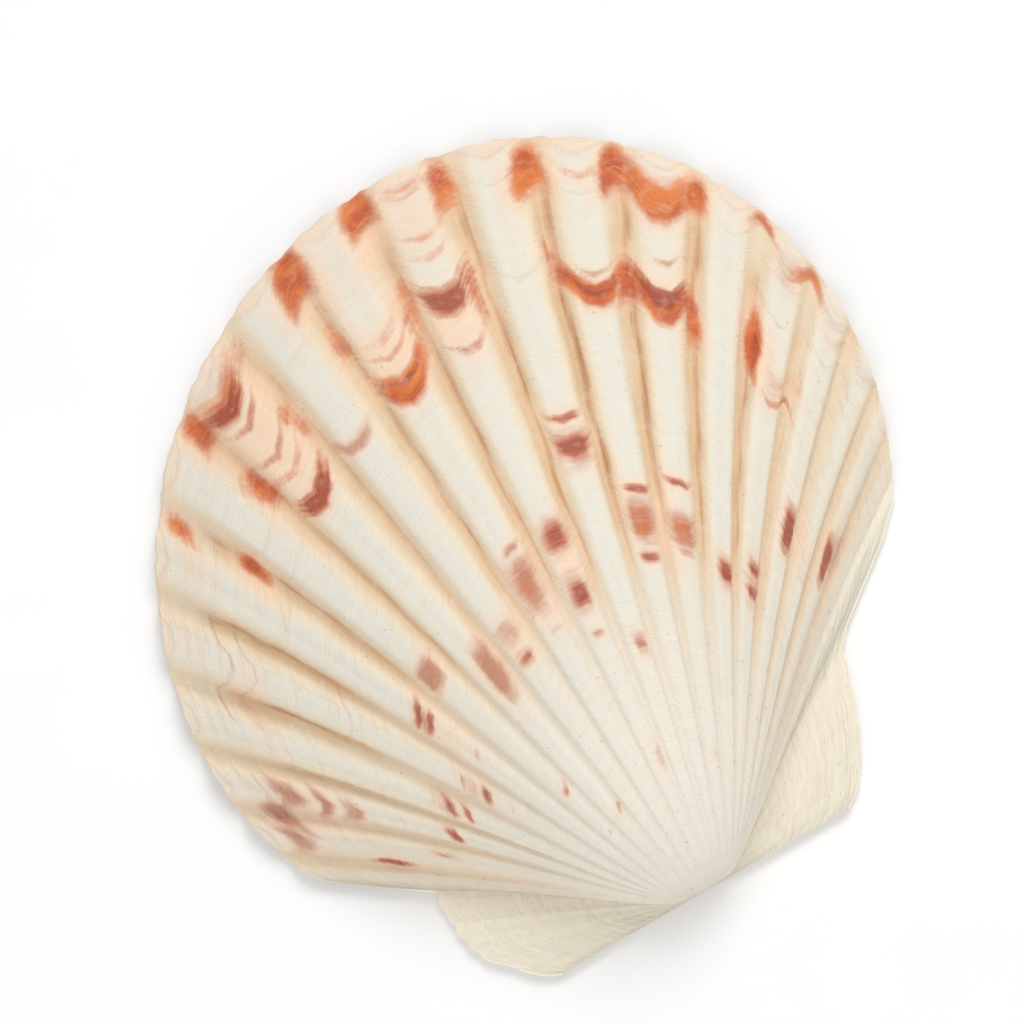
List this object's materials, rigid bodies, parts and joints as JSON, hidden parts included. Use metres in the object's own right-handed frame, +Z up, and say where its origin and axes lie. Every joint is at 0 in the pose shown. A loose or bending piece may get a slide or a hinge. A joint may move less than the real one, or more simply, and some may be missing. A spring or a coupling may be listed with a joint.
{
  "type": "scallop shell",
  "caption": "Single right valve of a fan-shaped scallop shell with radial ribs and two flat ears, convex outside and hollow underneath, lying on its margin.",
  "frame": {"origin": "middle of the shell's outline, on the surface it lies on", "axes": "+Z up out of the convex side, +Y from the hinge line to the middle of the fan's margin, X along the hinge line with the front ear, the one over the byssal notch, at -X"},
  "size_m": [0.052, 0.0548, 0.0133],
  "materials": {
    "shell": "satin"
  },
  "bodies": {
    "root": {"valve": "shell"}
  },
  "joints": []
}
